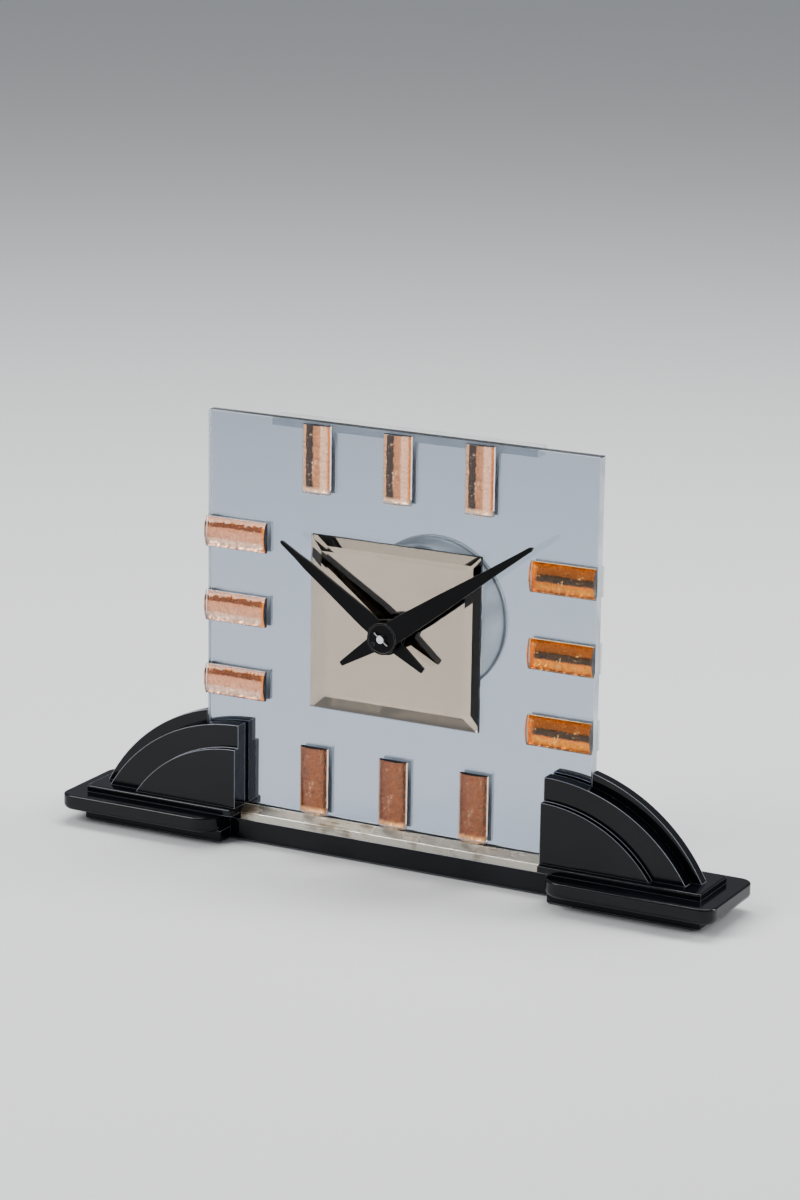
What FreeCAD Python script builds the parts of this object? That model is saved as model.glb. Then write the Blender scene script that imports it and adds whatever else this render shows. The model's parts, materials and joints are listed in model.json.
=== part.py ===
import FreeCAD, Part
import math
import os

# Mantel clock: a clear glass dial plate with twelve glass hour bars, standing in a black lacquered
# base of stepped slabs and quarter-round cheeks, with a round movement case behind it.
# Frame: +X right, +Y to the rear, +Z up. Origin on the table, under the middle of the dial plate's thickness.

# driving dimensions, mm

# glass
plate_width = 230.0          # dial plate, edge to edge
plate_height = 227.6         # dial plate, from its seat in the base to its top edge
glass_thickness = 6.0
glue = 0.05                  # film of cement between faces that are stuck together
arris = 0.4                  # ground bevel along the plate's edges
strip_length = 156.0         # strip on the back of the plate, along its top edge
strip_depth = 8.5
strip_height = 5.0

# hour bars
bar_length = 36.8
bar_width = 16.4
bar_wall = 1.8               # height of the bar's flat sides
bar_crown = 2.2              # rise of the rounded front over the sides
bar_inset = 1.0              # top row's bars under the plate's top edge
row_pitch = 47.9             # between bars of the top and bottom rows
column_pitch = 41.0          # between bars of the left and right columns
foil_thickness = 0.3
foil_inset = 0.2
backing_thickness = 2.4      # pale slip behind each bar, on the plate's rear face

# mirror
mirror_width = 100.2
mirror_height = 94.6
mirror_thickness = 5.0
mirror_rim = 2.4             # thickness left at the mirror's edge
mirror_bevel = 7.6           # width of the ground bevel

# hands
hand_sheet = 1.2
hour_hand_length = 77.0
hour_tail_length = 27.0
hour_hub_radius = 9.6
minute_hand_length = 104.5
minute_tail_length = 29.5
minute_hub_radius = 8.5
hub_rim_width = 0.9
hub_rim_height = 0.4
pin_length = 10.0
pin_radius = 0.45
clock_hour = 10.0
clock_minute = 9.2

# base
base_length = 390.0
base_depth = 57.6
pad_thickness = 0.8
slab_height = 15.0           # from the pads to the top, plinth and board together
board_thickness = 8.8        # board that overhangs the plinth
board_corner = 7.5           # round outer corners of the board, seen from above
board_round = 3.2            # rounding of its lower edges
slab_lead = 6.5              # inner end of the slab past the cheek's upright edge
slab_corner = 11.5           # round corners of the slab's inner end
plinth_recess = 10.5         # plinth set back under the board
step_round = 1.6             # rounding of the step's corners, seen from above
edge_round = 0.9             # rounding of the upper edges
step_height = 3.8
step_depth = 35.6
step_margin = 11.0           # slab showing past the step at the outer end
cheek_lap = 23.5             # width of the plate held between the cheeks, on each side
cheek_thickness = 7.5
cheek_margin = 22.2          # from the base's end to the foot of the cheek's arc
cheek_rise = 45.9            # cheek's height over the step
tier_thickness = 3.8
tier_margin = 40.9
tier_rise = 33.1
web_margin = 16.4
web_rise = 52.8
beam_depth = 15.6
beam_height = 11.6
groove_depth = 4.0           # plate's seat below the beam's top
sill_rise = 0.5              # sill's high edge over the step
sill_fall = 3.7              # slope from the sill's high edge to its front edge
bar_gap = 1.7                # lowest bars over the sill's high edge

# movement case
drum_radius = 42.0
drum_wall = 1.2
drum_depth = 41.0
gasket_thickness = 1.0
bead = 1.2                   # rolled bead at the drum's rear edge
cover_thickness = 1.2
cover_spigot = 3.0

# centre fixing
tube_radius = 5.0
tube_flange_radius = 8.0
tube_flange = 1.5
washer_radius = 8.4
washer_thickness = 0.8
nut_radius = 7.6
nut_height = 2.2

# movement
movement_room = 5.0          # movement plates' edge inside the drum's outer face
movement_plate = 1.5
plate_spacing = 19.5         # between the two movement plates
pillar_radius = 2.5
pillar_inset = 9.0           # pillars' and posts' circle inside the drum's outer face
arbor_radius = 2.1           # minute arbor
cannon_wall = 0.73
hour_pipe_wall = 1.1
motion_distance = 12.0       # centre to minute wheel
barrel_depth = 11.0
key_span = 19.0
knob_radius = 7.0
balance_radius = 8.5

# fits
slot_clearance = 0.1
bore_clearance = 0.1
running_clearance = 0.06
screw_clearance = 0.05
end_shake = 0.2              # play along an arbor

# places worked out from the sizes

plate_front = -glass_thickness / 2
plate_back = glass_thickness / 2
slab_bottom = pad_thickness
slab_top = slab_bottom + slab_height
step_top = slab_top + step_height
beam_top = slab_bottom + beam_height
sill_top = step_top + sill_rise
plate_seat = beam_top - groove_depth
plate_top = plate_seat + plate_height
face_bottom = sill_top + bar_gap
dial_z = (plate_top + face_bottom) / 2
half_plate = plate_width / 2
cheek_inner = half_plate - cheek_lap     # from the middle to the cheek's upright edge
slab_inner = cheek_inner + slab_lead     # from the middle to the slab's inner end
half_slot = plate_back + slot_clearance
hour_angle = 30.0 * (clock_hour + clock_minute / 60.0)
minute_angle = 6.0 * clock_minute

foil_back = plate_front - glue
foil_front = foil_back - foil_thickness
glass_back = foil_front - glue       # rear face of the hour bars and the mirror
mirror_front = glass_back - mirror_thickness
backing_front = plate_back + glue
backing_back = backing_front + backing_thickness
strip_back = backing_front + strip_depth
nut_front = mirror_front - washer_thickness - nut_height
hour_hand_back = nut_front - 2.9
hour_hand_front = hour_hand_back - hand_sheet
minute_hand_back = hour_hand_front - 2.8
minute_hand_front = minute_hand_back - hand_sheet
arbor_front = minute_hand_front - 2.0

movement_radius = drum_radius - movement_room
pillar_circle = drum_radius - pillar_inset
drum_front = plate_back + gasket_thickness
drum_inside = drum_front + drum_wall
drum_back = drum_front + drum_depth
cover_back = drum_back + cover_thickness
tube_inside = drum_inside + tube_flange
cannon_radius = arbor_radius + cannon_wall
hour_bore = cannon_radius + running_clearance
hour_pipe_radius = hour_bore + hour_pipe_wall
tube_bore = hour_pipe_radius + running_clearance
front_plate_front = tube_inside + 5.3
front_plate_back = front_plate_front + movement_plate
back_plate_front = front_plate_back + plate_spacing
back_plate_back = back_plate_front + movement_plate

# gear train: teeth and modules
cannon_teeth, minute_wheel_teeth, motion_module = 12, 36, 0.5
minute_pinion_teeth, hour_wheel_teeth = 10, 40
hour_module = 2 * motion_distance / (minute_pinion_teeth + hour_wheel_teeth)
barrel_teeth, centre_pinion_teeth, barrel_module = 72, 12, 0.45
centre_wheel_teeth, third_pinion_teeth, centre_module = 64, 8, 0.45
third_wheel_teeth, fourth_pinion_teeth, third_module = 60, 8, 0.4
fourth_wheel_teeth, fourth_module = 60, 0.3
wheel_addendum, pinion_addendum, dedendum = 0.9, 0.55, 1.35   # in modules
tooth_share = 0.36                                            # of the pitch, so the teeth have backlash

V = FreeCAD.Vector
BACK = V(0, 1, 0)
UP = V(0, 0, 1)


# helpers

def save(name, *solids):
    shape = solids[0] if len(solids) == 1 else Part.makeCompound(list(solids))
    shape.exportStep("parts/" + name + ".step")


def box(x0, x1, y0, y1, z0, z1):
    return Part.makeBox(x1 - x0, y1 - y0, z1 - z0, V(x0, y0, z0))


def rod(radius, y0, y1, x=0.0, z=dial_z):
    return Part.makeCylinder(radius, y1 - y0, V(x, y0, z), BACK)


def ring(outer, inner, y0, y1, x=0.0, z=dial_z):
    return rod(outer, y0, y1, x, z).cut(rod(inner, y0, y1, x, z))


def slab_of(points, y0, y1):
    wire = Part.makePolygon([V(x, y0, z) for x, z in points] + [V(points[0][0], y0, points[0][1])])
    return Part.Face(wire).extrude(V(0, y1 - y0, 0))


def turned(shape, angle, x=0.0, z=dial_z):
    copy = shape.copy()
    copy.rotate(V(x, 0, z), BACK, angle)
    return copy


def mirrored(shape):
    return shape.mirror(V(0, 0, 0), V(1, 0, 0))


def front_to_back(shape):
    return shape.mirror(V(0, 0, 0), V(0, 1, 0))


def polar(radius, angle):
    # angle in degrees, clockwise from the top as seen from the front
    turn = math.radians(angle)
    return radius * math.sin(turn), dial_z + radius * math.cos(turn)


def gear(teeth, module, addendum, y0, y1, place=(0.0, dial_z), phase=0.0, bore=0.0):
    # phase is the direction of one tooth, in degrees clockwise from the top
    pitch_radius = teeth * module / 2
    root = pitch_radius - dedendum * module
    tip = pitch_radius + addendum * module
    half = 180.0 * tooth_share / teeth
    profile = ((root, -1.25), (pitch_radius, -1.0), (tip, -0.25), (tip, 0.25), (pitch_radius, 1.0), (root, 1.25))
    points = []
    for tooth in range(teeth):
        for radius, side in profile:
            turn = math.radians(phase + 360.0 * tooth / teeth + side * half)
            points.append((place[0] + radius * math.sin(turn), place[1] + radius * math.cos(turn)))
    blank = slab_of(points, y0, y1)
    if bore:
        blank = blank.cut(rod(bore, y0, y1, *place))
    return blank


def meshing_phase(line, teeth, phase, other_teeth):
    # phase of the other gear, so that its gap takes this gear's tooth; line points from this gear to the other
    return line + 180.0 - (phase - line) * teeth / other_teeth + 180.0 / other_teeth


def spiral(inner, outer, turns, thickness, y0, y1, place):
    steps = 20
    count = int(turns * steps)
    near, far = [], []
    for step in range(count + 1):
        turn = 2 * math.pi * step / steps
        radius = inner + (outer - inner) * step / count
        near.append((place[0] + radius * math.sin(turn), place[1] + radius * math.cos(turn)))
        far.append((place[0] + (radius + thickness) * math.sin(turn), place[1] + (radius + thickness) * math.cos(turn)))
    return slab_of(near + far[::-1], y0, y1)


def lightened(wheel, radius, hole_radius, count, y0, y1, place):
    for index in range(count):
        turn = 2 * math.pi * index / count
        x = place[0] + radius * math.sin(turn)
        z = place[1] + radius * math.cos(turn)
        wheel = wheel.cut(rod(hole_radius, y0, y1, x, z))
    return wheel


# base: beam, foot slabs, steps, cheeks, tiers, webs, sills

plate_pocket = half_plate + slot_clearance
step_outer = base_length / 2 - step_margin
cheek_back_face = -half_slot
cheek_front_face = cheek_back_face - cheek_thickness

screw_head_radius, screw_head_height, screw_radius = 3.2, 2.4, 1.6
screw_length = slab_height + step_height + 10.0
screw_places = [(x, side * (half_slot + cheek_thickness / 2)) for x in (cheek_inner + 14.0, cheek_inner + 60.0)
                for side in (-1, 1)]


def base_screw(x, y, room=0.0):
    head = Part.makeCone(screw_head_radius + room, screw_radius + room, screw_head_height, V(x, y, slab_bottom), UP)
    shank = Part.makeCylinder(screw_radius + room, screw_length + room, V(x, y, slab_bottom), UP)
    return head.fuse(shank)


def drilled(shape):
    for x, y in screw_places:
        shape = shape.cut(base_screw(x, y, screw_clearance))
    return shape


def upright_edges(shape, x_low, x_high):
    # vertical edges whose x lies between the two values
    found = []
    for edge in shape.Edges:
        first, last = edge.Vertexes[0].Point, edge.Vertexes[-1].Point
        if abs(first.z - last.z) > 1.0 and abs(first.x - last.x) < 0.01 and x_low < first.x < x_high:
            found.append(edge)
    return found


def level_edges(shape, z):
    return [edge for edge in shape.Edges
            if abs(edge.BoundBox.ZMin - z) < 0.01 and abs(edge.BoundBox.ZMax - z) < 0.01]


def foot_slab():
    # board with rounded ends over a set-back plinth
    half, outer = base_depth / 2, base_length / 2
    board_bottom = slab_top - board_thickness
    board = box(slab_inner, outer, -half, half, board_bottom, slab_top)
    board = board.makeFillet(slab_corner, upright_edges(board, slab_inner - 1, slab_inner + 1))
    board = board.makeFillet(board_corner, upright_edges(board, outer - 1, outer + 1))
    board = board.makeFillet(edge_round, level_edges(board, slab_top))
    board = board.makeFillet(board_round, level_edges(board, board_bottom))
    plinth_half = half - plinth_recess
    plinth = box(slab_inner, outer - plinth_recess, -plinth_half, plinth_half, slab_bottom, board_bottom)
    plinth = plinth.makeFillet(edge_round, upright_edges(plinth, slab_inner - 1, outer))
    groove = box(slab_inner, plate_pocket, -half_slot, half_slot, plate_seat, slab_top)
    return drilled(board.fuse(plinth).removeSplitter().cut(groove))


def step_slab():
    half = step_depth / 2
    shape = box(cheek_inner, step_outer, -half, half, slab_top, step_top)
    shape = shape.makeFillet(step_round, upright_edges(shape, cheek_inner - 1, step_outer + 1))
    shape = shape.makeFillet(edge_round, level_edges(shape, step_top))
    groove = box(cheek_inner, plate_pocket, -half_slot, half_slot, slab_top, step_top)
    return drilled(shape.cut(groove))


def quarter(inner, margin, rise, y0, y1):
    # board with an upright inner edge and an arc that falls from the cheek's edge to the step
    bottom = step_top
    foot_x = base_length / 2 - margin
    reach = foot_x - cheek_inner
    radius = (reach ** 2 + rise ** 2) / (2 * rise)
    centre_z = bottom + rise - radius
    inner_top = centre_z + math.sqrt(radius ** 2 - (inner - cheek_inner) ** 2)
    turn = 0.5 * (math.atan2(inner_top - centre_z, inner - cheek_inner)
                  + math.atan2(bottom - centre_z, reach))
    middle = V(cheek_inner + radius * math.cos(turn), y0, centre_z + radius * math.sin(turn))
    a, b, c = V(inner, y0, bottom), V(inner, y0, inner_top), V(foot_x, y0, bottom)
    wire = Part.Wire([Part.LineSegment(a, b).toShape(), Part.Arc(b, middle, c).toShape(),
                      Part.LineSegment(c, a).toShape()])
    return Part.Face(wire).extrude(V(0, y1 - y0, 0))


def front_cheek():
    # board with a smaller quarter arc standing proud of its face
    board = drilled(quarter(cheek_inner, cheek_margin, cheek_rise, cheek_front_face, cheek_back_face))
    tier = quarter(cheek_inner, tier_margin, tier_rise, cheek_front_face - tier_thickness, cheek_front_face)
    return board.fuse(tier).removeSplitter()


def web():
    inner = half_plate + 2 * slot_clearance
    return quarter(inner, web_margin, web_rise, plate_front, plate_back)


def beam():
    half = beam_depth / 2
    shape = box(-slab_inner, slab_inner, -half, half, slab_bottom, beam_top)
    return shape.cut(box(-slab_inner, slab_inner, -half_slot, half_slot, plate_seat, beam_top))


def sill_strip():
    # five-sided section, seen from the right, run from cheek to cheek
    front, back = -beam_depth / 2, -half_slot
    section = ((front, beam_top), (back, beam_top), (back, sill_top), (front, sill_top - sill_fall))
    length = 2 * (cheek_inner - slot_clearance)
    start = -length / 2
    wire = Part.makePolygon([V(start, y, z) for y, z in section + section[:1]])
    return Part.Face(wire).extrude(V(length, 0, 0))


def felt_pads():
    pad_x = (slab_inner + base_length / 2) / 2
    half_x, half_y = 0.35 * (base_length / 2 - slab_inner), 0.3 * base_depth
    pads = [box(side * pad_x - half_x, side * pad_x + half_x, -half_y, half_y, 0, pad_thickness) for side in (-1, 1)]
    middle = 0.4 * beam_depth
    pads.append(box(-2 * middle, 2 * middle, -middle, middle, 0, pad_thickness))
    return pads


save("base_beam", beam())
for board, name in ((foot_slab(), "foot_slab"), (step_slab(), "step_slab"), (front_cheek(), "front_cheek"),
                    (front_to_back(front_cheek()), "rear_cheek"), (web(), "web")):
    save("right_" + name, board)
    save("left_" + name, mirrored(board))
save("front_sill_strip", sill_strip())
save("rear_sill_strip", front_to_back(sill_strip()))
save("felt_pads", *felt_pads())
right_screws = [base_screw(x, y) for x, y in screw_places]
save("base_screws", *(right_screws + [mirrored(screw) for screw in right_screws]))

# glass: dial plate, top strip, hour bars, foils, backings, mirror

centre_hole = tube_radius + bore_clearance
dial_plate = box(-half_plate, half_plate, plate_front, plate_back, plate_seat, plate_top)
dial_plate = dial_plate.makeChamfer(arris, dial_plate.Edges)
dial_plate = dial_plate.cut(rod(centre_hole, plate_front, plate_back))
save("dial_plate", dial_plate)

strip_bottom = plate_top - strip_height
top_strip = box(-strip_length / 2, strip_length / 2, backing_front, strip_back, strip_bottom, plate_top)
top_strip = top_strip.makeChamfer(arris, level_edges(top_strip, plate_top))
save("rear_top_strip", top_strip)

column_x = half_plate - bar_length / 2
top_row_z = plate_top - bar_inset - bar_length / 2
bottom_row_z = face_bottom + bar_length / 2

# place of each hour bar and whether it stands upright, clockwise from one o'clock
bar_places = [(row_pitch, top_row_z, True), (column_x, dial_z + column_pitch, False), (column_x, dial_z, False),
              (column_x, dial_z - column_pitch, False), (row_pitch, bottom_row_z, True), (0.0, bottom_row_z, True),
              (-row_pitch, bottom_row_z, True), (-column_x, dial_z - column_pitch, False), (-column_x, dial_z, False),
              (-column_x, dial_z + column_pitch, False), (-row_pitch, top_row_z, True), (0.0, top_row_z, True)]


def hour_bar():
    # lies along X about the origin, flat back at glass_back and crown towards -Y
    half = bar_width / 2
    wall_y = glass_back - bar_wall
    a, b = V(0, glass_back, -half), V(0, wall_y, -half)
    c, d = V(0, wall_y, half), V(0, glass_back, half)
    top = V(0, wall_y - bar_crown, 0)
    wire = Part.Wire([Part.LineSegment(a, b).toShape(), Part.Arc(b, top, c).toShape(),
                      Part.LineSegment(c, d).toShape(), Part.LineSegment(d, a).toShape()])
    shape = Part.Face(wire).extrude(V(bar_length, 0, 0))
    shape.translate(V(-bar_length / 2, 0, 0))
    return shape


def flat_slip(y0, y1, inset=0.0):
    half_length, half_width = bar_length / 2 - inset, bar_width / 2 - inset
    return box(-half_length, half_length, y0, y1, -half_width, half_width)


def placed(shape, place):
    x, z, upright = place
    copy = shape.copy()
    if upright:
        copy.rotate(V(0, 0, 0), BACK, 90)
    copy.translate(V(x, 0, z))
    return copy


bar_shape = hour_bar()
foil_shape = flat_slip(foil_front, foil_back, foil_inset)
backing_shape = flat_slip(backing_front, backing_back)
strip_room = box(-half_plate, half_plate, plate_back, strip_back, strip_bottom - slot_clearance, plate_top)
for name, first in (("right_hour_bars", 1), ("bottom_hour_bars", 4), ("left_hour_bars", 7), ("top_hour_bars", 10)):
    hours = [(first + step) % 12 for step in range(3)]
    save(name, *[placed(bar_shape, bar_places[hour]) for hour in hours])
save("bar_foils", *[placed(foil_shape, place) for place in bar_places])
save("bar_backings", *[placed(backing_shape, place).cut(strip_room) for place in bar_places])


def rectangle(width, height, y):
    x, z = width / 2, height / 2
    return Part.makePolygon([V(-x, y, dial_z - z), V(x, y, dial_z - z), V(x, y, dial_z + z), V(-x, y, dial_z + z),
                             V(-x, y, dial_z - z)])


def mirror_glass():
    rim_y = glass_back - mirror_rim
    flat = rectangle(mirror_width - 2 * mirror_bevel, mirror_height - 2 * mirror_bevel, mirror_front)
    bevelled = Part.makeLoft([rectangle(mirror_width, mirror_height, rim_y), flat], True, True)
    rim = Part.Face(rectangle(mirror_width, mirror_height, rim_y)).extrude(V(0, mirror_rim, 0))
    return rim.fuse(bevelled).removeSplitter().cut(rod(centre_hole, mirror_front, glass_back))


save("mirror_plate", mirror_glass())
silvering = Part.Face(rectangle(mirror_width - 2 * foil_inset, mirror_height - 2 * foil_inset, foil_front))
silvering = silvering.extrude(V(0, foil_thickness, 0)).cut(rod(centre_hole, foil_front, foil_back))
save("mirror_silvering", silvering)

# places of the train's arbors

centre = (0.0, dial_z)
barrel_line, barrel_distance = 180.0, barrel_module * (barrel_teeth + centre_pinion_teeth) / 2
third_line, third_distance = 300.0, centre_module * (centre_wheel_teeth + third_pinion_teeth) / 2
fourth_line, fourth_distance = 30.0, third_module * (third_wheel_teeth + fourth_pinion_teeth) / 2
motion_line = 120.0
barrel_place = polar(barrel_distance, barrel_line)
third_place = polar(third_distance, third_line)
fourth_turn = math.radians(fourth_line)
fourth_place = (third_place[0] + fourth_distance * math.sin(fourth_turn),
                third_place[1] + fourth_distance * math.cos(fourth_turn))
motion_place = polar(motion_distance, motion_line)
balance_place = polar(22.0, 55.0)

# case: gasket, drum, bead, cover, centre fixing

save("case_gasket", ring(drum_radius - 1.0, drum_radius - 5.0, plate_back + glue, drum_front))

drum = rod(drum_radius, drum_front, drum_back).cut(rod(drum_radius - drum_wall, drum_inside, drum_back))
drum = drum.cut(rod(centre_hole, drum_front, drum_inside))
save("case_drum", drum)
bead_inner = drum_radius + screw_clearance
bead_back = drum_back - slot_clearance
save("case_bead", ring(bead_inner + bead, bead_inner, bead_back - 2 * bead, bead_back))

post_circle = pillar_circle
post_angles = (0.0, 115.0, 245.0)
post_places = [polar(post_circle, angle) for angle in post_angles]
cover_screw_radius, cover_screw_head = 1.0, 2.2
winding_radius = 2.0
regulator_reach = 9.0
regulator_swing = 20.0

cover = rod(drum_radius, drum_back, cover_back)
spigot_outer = drum_radius - drum_wall - bore_clearance
cover = cover.fuse(ring(spigot_outer, spigot_outer - 1.0, drum_back - cover_spigot, drum_back))
cover = cover.cut(rod(arbor_radius + 0.5, drum_back, cover_back))
cover = cover.cut(rod(winding_radius + 0.6, drum_back, cover_back, *barrel_place))
for place in post_places:
    cover = cover.cut(rod(cover_screw_radius + screw_clearance, drum_back, cover_back, *place))


def on_circle(place, radius, angle):
    turn = math.radians(angle)
    return place[0] + radius * math.sin(turn), place[1] + radius * math.cos(turn)


regulator_rest = 55.0
slot_half = 0.9


def arc_slot(place, radius, half, start, end, y0, y1):
    # curved slot with round ends about a place, between two directions
    middle = (start + end) / 2
    end_turn = math.degrees(half / radius)

    def point(distance, angle):
        x, z = on_circle(place, distance, angle)
        return V(x, y0, z)

    far = Part.Arc(point(radius + half, start), point(radius + half, middle), point(radius + half, end))
    last = Part.Arc(point(radius + half, end), point(radius, end + end_turn), point(radius - half, end))
    near = Part.Arc(point(radius - half, end), point(radius - half, middle), point(radius - half, start))
    first = Part.Arc(point(radius - half, start), point(radius, start - end_turn), point(radius + half, start))
    wire = Part.Wire([curve.toShape() for curve in (far, last, near, first)])
    return Part.Face(wire).extrude(V(0, y1 - y0, 0))


cover = cover.cut(arc_slot(balance_place, regulator_reach, slot_half, regulator_rest - regulator_swing,
                           regulator_rest + regulator_swing, drum_back, cover_back))
save("rear_cover", cover)
screw_head_back = cover_back + 1.2
screws = []
for place in post_places:
    shank = rod(cover_screw_radius, drum_back - 4.0, cover_back, *place)
    head = rod(cover_screw_head, cover_back, screw_head_back, *place)
    slot = box(place[0] - cover_screw_head, place[0] + cover_screw_head, screw_head_back - 0.5, screw_head_back,
               place[1] - 0.3, place[1] + 0.3)
    screws.append(shank.fuse(head).cut(slot))
save("cover_screws", *screws)

tube = rod(tube_flange_radius, drum_inside, tube_inside).fuse(rod(tube_radius, nut_front, tube_inside))
tube = tube.cut(rod(tube_bore, nut_front, tube_inside))
save("centre_tube", tube)
washer_front = mirror_front - washer_thickness
save("dial_washer", ring(washer_radius, centre_hole, washer_front, mirror_front))
nut = ring(nut_radius, tube_radius + screw_clearance, nut_front, washer_front)
for side in (-1, 1):
    nut = nut.cut(box(side * nut_radius - 1.0, side * nut_radius + 1.0, nut_front, nut_front + 1.2,
                      dial_z - 0.8, dial_z + 0.8))
save("dial_nut", nut)

# movement frame

pillar_places = [polar(pillar_circle, angle) for angle in (40.0, 140.0, 220.0, 320.0)]
pivot_radius = 0.6
stud_radius = 1.2
barrel_pivot = winding_radius


def plate_with_holes(y0, y1, holes):
    plate = rod(movement_radius, y0, y1)
    for radius, place in holes:
        plate = plate.cut(rod(radius + running_clearance, y0, y1, *place))
    return plate


train_holes = [(arbor_radius, centre), (barrel_pivot, barrel_place), (pivot_radius, third_place),
               (pivot_radius, fourth_place)]
front_plate = plate_with_holes(front_plate_front, front_plate_back, train_holes)
stud = rod(stud_radius, tube_inside + end_shake, front_plate_front, *motion_place)
save("front_movement_plate", front_plate.fuse(stud))
save("back_movement_plate", plate_with_holes(back_plate_front, back_plate_back, train_holes))
save("movement_posts", *[ring(pillar_radius, cover_screw_radius + screw_clearance, drum_back - 4.5, drum_back, *place)
                         .fuse(rod(pillar_radius, back_plate_back, drum_back - 4.5, *place)) for place in post_places])
mount_post_places = [polar(pillar_circle, angle) for angle in (90.0, 210.0, 330.0)]
save("pillars", *([rod(pillar_radius, front_plate_back, back_plate_front, *place) for place in pillar_places]
                  + [rod(pillar_radius, drum_inside, front_plate_front, *place) for place in mount_post_places]))

# motion work: minute arbor, cannon pinion, minute wheel, hour wheel

knob_front = cover_back + 1.5
knob_back = knob_front + 6.0
centre_wheel_front = back_plate_front - 4.0
centre_wheel_back = centre_wheel_front + 1.0
pinion_front = front_plate_back + 2.0
pin_y = (arbor_front + minute_hand_front) / 2
pin_tilt = 128.0


def crossing_rod(radius, length, angle, y):
    turn = math.radians(angle)
    direction = V(math.sin(turn), 0, math.cos(turn))
    return Part.makeCylinder(radius, length, V(0, y, dial_z) - direction * (length / 2), direction)


barrel_pinion = gear(centre_pinion_teeth, barrel_module, pinion_addendum, pinion_front, centre_wheel_front - end_shake,
                     centre, 0.0)
minute_arbor = rod(arbor_radius, arbor_front, knob_back - 1.0).fuse(barrel_pinion)
minute_arbor = minute_arbor.cut(crossing_rod(pin_radius + screw_clearance, 3 * arbor_radius, pin_tilt, pin_y))
save("minute_arbor", minute_arbor)

wheel = gear(centre_wheel_teeth, centre_module, wheel_addendum, centre_wheel_front, centre_wheel_back, centre, 0.0,
             arbor_radius)
wheel = lightened(wheel, 8.0, 3.2, 6, centre_wheel_front, centre_wheel_back, centre)
hub = ring(4.0, arbor_radius, centre_wheel_back, back_plate_front - end_shake)
save("centre_wheel", wheel.fuse(hub))

cannon_pinion_back = front_plate_front - end_shake
cannon_pinion_front = cannon_pinion_back - 1.8
cannon = gear(cannon_teeth, motion_module, pinion_addendum, cannon_pinion_front, cannon_pinion_back, centre, 0.0,
              arbor_radius)
cannon = cannon.fuse(ring(cannon_radius, arbor_radius, minute_hand_back, cannon_pinion_front))
save("cannon_pinion", cannon)

minute_wheel_front = cannon_pinion_front + 0.3
minute_wheel_back = minute_wheel_front + 1.0
hour_wheel_back = cannon_pinion_front - end_shake
hour_wheel_front = hour_wheel_back - 1.2
minute_bore = stud_radius + running_clearance
minute_phase = meshing_phase(motion_line, cannon_teeth, 0.0, minute_wheel_teeth)
minute_wheel = gear(minute_wheel_teeth, motion_module, wheel_addendum, minute_wheel_front, minute_wheel_back,
                    motion_place, minute_phase, minute_bore)
minute_wheel = lightened(minute_wheel, 5.4, 1.9, 5, minute_wheel_front, minute_wheel_back, motion_place)
minute_pinion = gear(minute_pinion_teeth, hour_module, pinion_addendum, hour_wheel_front - 0.2, minute_wheel_front,
                     motion_place, 0.0, minute_bore)
save("minute_wheel", minute_wheel.fuse(minute_pinion))

hour_phase = meshing_phase(motion_line + 180.0, minute_pinion_teeth, 0.0, hour_wheel_teeth)
hour_wheel = gear(hour_wheel_teeth, hour_module, wheel_addendum, hour_wheel_front, hour_wheel_back, centre, hour_phase,
                  hour_bore)
hour_wheel = lightened(hour_wheel, 6.5, 1.5, 6, hour_wheel_front, hour_wheel_back, centre)
save("hour_wheel", hour_wheel.fuse(ring(hour_pipe_radius, hour_bore, hour_hand_front - 0.3, hour_wheel_front)))

# going train: barrel, third wheel, fourth wheel

barrel_front = front_plate_back + 0.8
barrel_back = barrel_front + barrel_depth
barrel_root = barrel_module * (barrel_teeth / 2 - dedendum)
barrel_wall = 0.8
barrel_bore = winding_radius + running_clearance
tooth_band = 2.0
barrel_phase = meshing_phase(barrel_line, centre_pinion_teeth, 0.0, barrel_teeth)
barrel = gear(barrel_teeth, barrel_module, wheel_addendum, barrel_back - tooth_band, barrel_back, barrel_place,
              barrel_phase)
barrel = barrel.fuse(rod(barrel_root - 0.4, barrel_front, barrel_back - tooth_band, *barrel_place))
barrel = barrel.cut(rod(barrel_root - 0.4 - barrel_wall, barrel_front + barrel_wall, barrel_back - barrel_wall,
                        *barrel_place))
barrel = barrel.cut(rod(barrel_bore, barrel_front, barrel_back, *barrel_place))
save("mainspring_barrel", barrel)
save("mainspring", spiral(4.2, barrel_root - 2.2, 9, 0.35, barrel_front + barrel_wall + 0.3,
                          barrel_back - barrel_wall - 0.3, barrel_place))

third_wheel_front = front_plate_back + 6.0
third_wheel_back = third_wheel_front + 0.9
third_phase = meshing_phase(third_line, centre_wheel_teeth, 0.0, third_pinion_teeth)
third_arbor_radius = 1.0


def train_arbor(place):
    body = rod(third_arbor_radius, front_plate_back + end_shake, back_plate_front - end_shake, *place)
    return body.fuse(rod(pivot_radius, front_plate_front, back_plate_back, *place))


third_pinion = gear(third_pinion_teeth, centre_module, pinion_addendum, centre_wheel_front - 0.6,
                    centre_wheel_back + 0.6, third_place, third_phase)
third = gear(third_wheel_teeth, third_module, wheel_addendum, third_wheel_front, third_wheel_back, third_place, 0.0)
third = lightened(third, 7.0, 2.6, 6, third_wheel_front, third_wheel_back, third_place)
save("third_wheel", third.fuse([third_pinion, train_arbor(third_place)]))

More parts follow.
